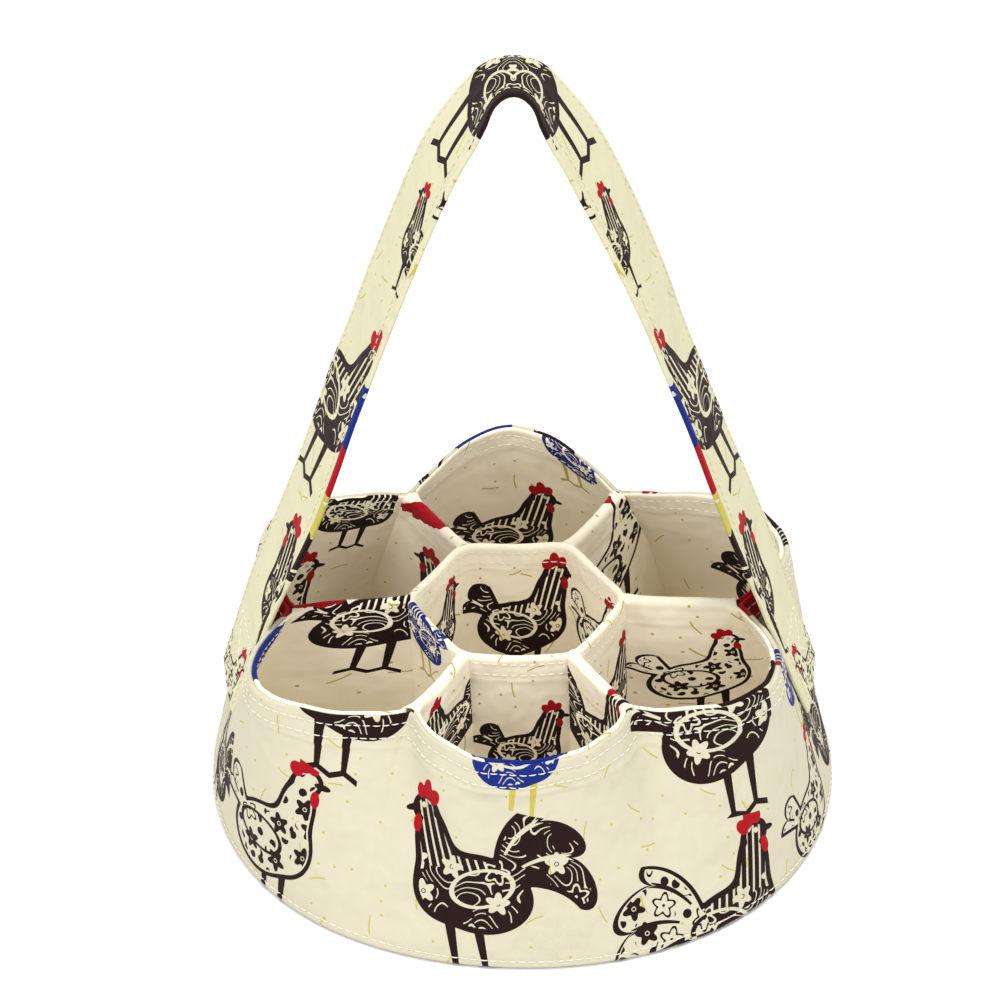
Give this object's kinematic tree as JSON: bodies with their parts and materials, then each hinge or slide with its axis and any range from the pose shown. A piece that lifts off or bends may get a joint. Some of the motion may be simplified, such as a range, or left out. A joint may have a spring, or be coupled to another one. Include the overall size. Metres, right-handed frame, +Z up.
{
  "type": "egg collection basket",
  "caption": "Soft round basket of sewn printed cotton with hexagonal cells for eggs, a scalloped rim and one wide strap handle.",
  "frame": {"origin": "middle of the underside of the round base, where the basket stands", "axes": "+Z up, X through the strap's two sewn ends with +X on the right, front of the basket towards -Y"},
  "size_m": [0.2514, 0.2514, 0.3055],
  "materials": {
    "printed_cotton": "matt woven cotton with a hen print",
    "lining_cotton": "matt woven cotton with the same print",
    "strap_cotton": "matt woven cotton with the same print",
    "felt": "soft white felt",
    "thread": "white sewing thread"
  },
  "bodies": {
    "basket": {"base_outer": "printed_cotton", "base_felt": "felt", "base_lining": "lining_cotton", "outer_wall": "printed_cotton", "lining_right_back": "lining_cotton", "lining_back": "lining_cotton", "lining_left_back": "lining_cotton", "lining_left_front": "lining_cotton", "lining_front": "lining_cotton", "lining_right_front": "lining_cotton", "divider_right": "lining_cotton", "divider_back_right": "lining_cotton", "divider_back_left": "lining_cotton", "divider_left": "lining_cotton", "divider_front_left": "lining_cotton", "divider_front_right": "lining_cotton", "centre_sleeve": "lining_cotton", "strap_end_left": "strap_cotton", "strap_end_right": "strap_cotton", "tack_stitches_left": "thread", "tack_stitches_right": "thread", "base_stitches": "thread", "rim_stitches_upper": "thread", "rim_stitches_lower": "thread", "divider_stitches": "thread", "centre_stitches": "thread"},
    "handle": {"strap_outer_layer": "strap_cotton", "strap_inner_layer": "strap_cotton", "strap_edge_stitches": "thread"}
  },
  "joints": [
    {"name": "handle_swing", "type": "hinge", "parent": "basket", "child": "handle", "pos_m": [0, 0, 0.1034], "axis": [1, 0, 0], "range_deg": [-85, 85]}
  ]
}
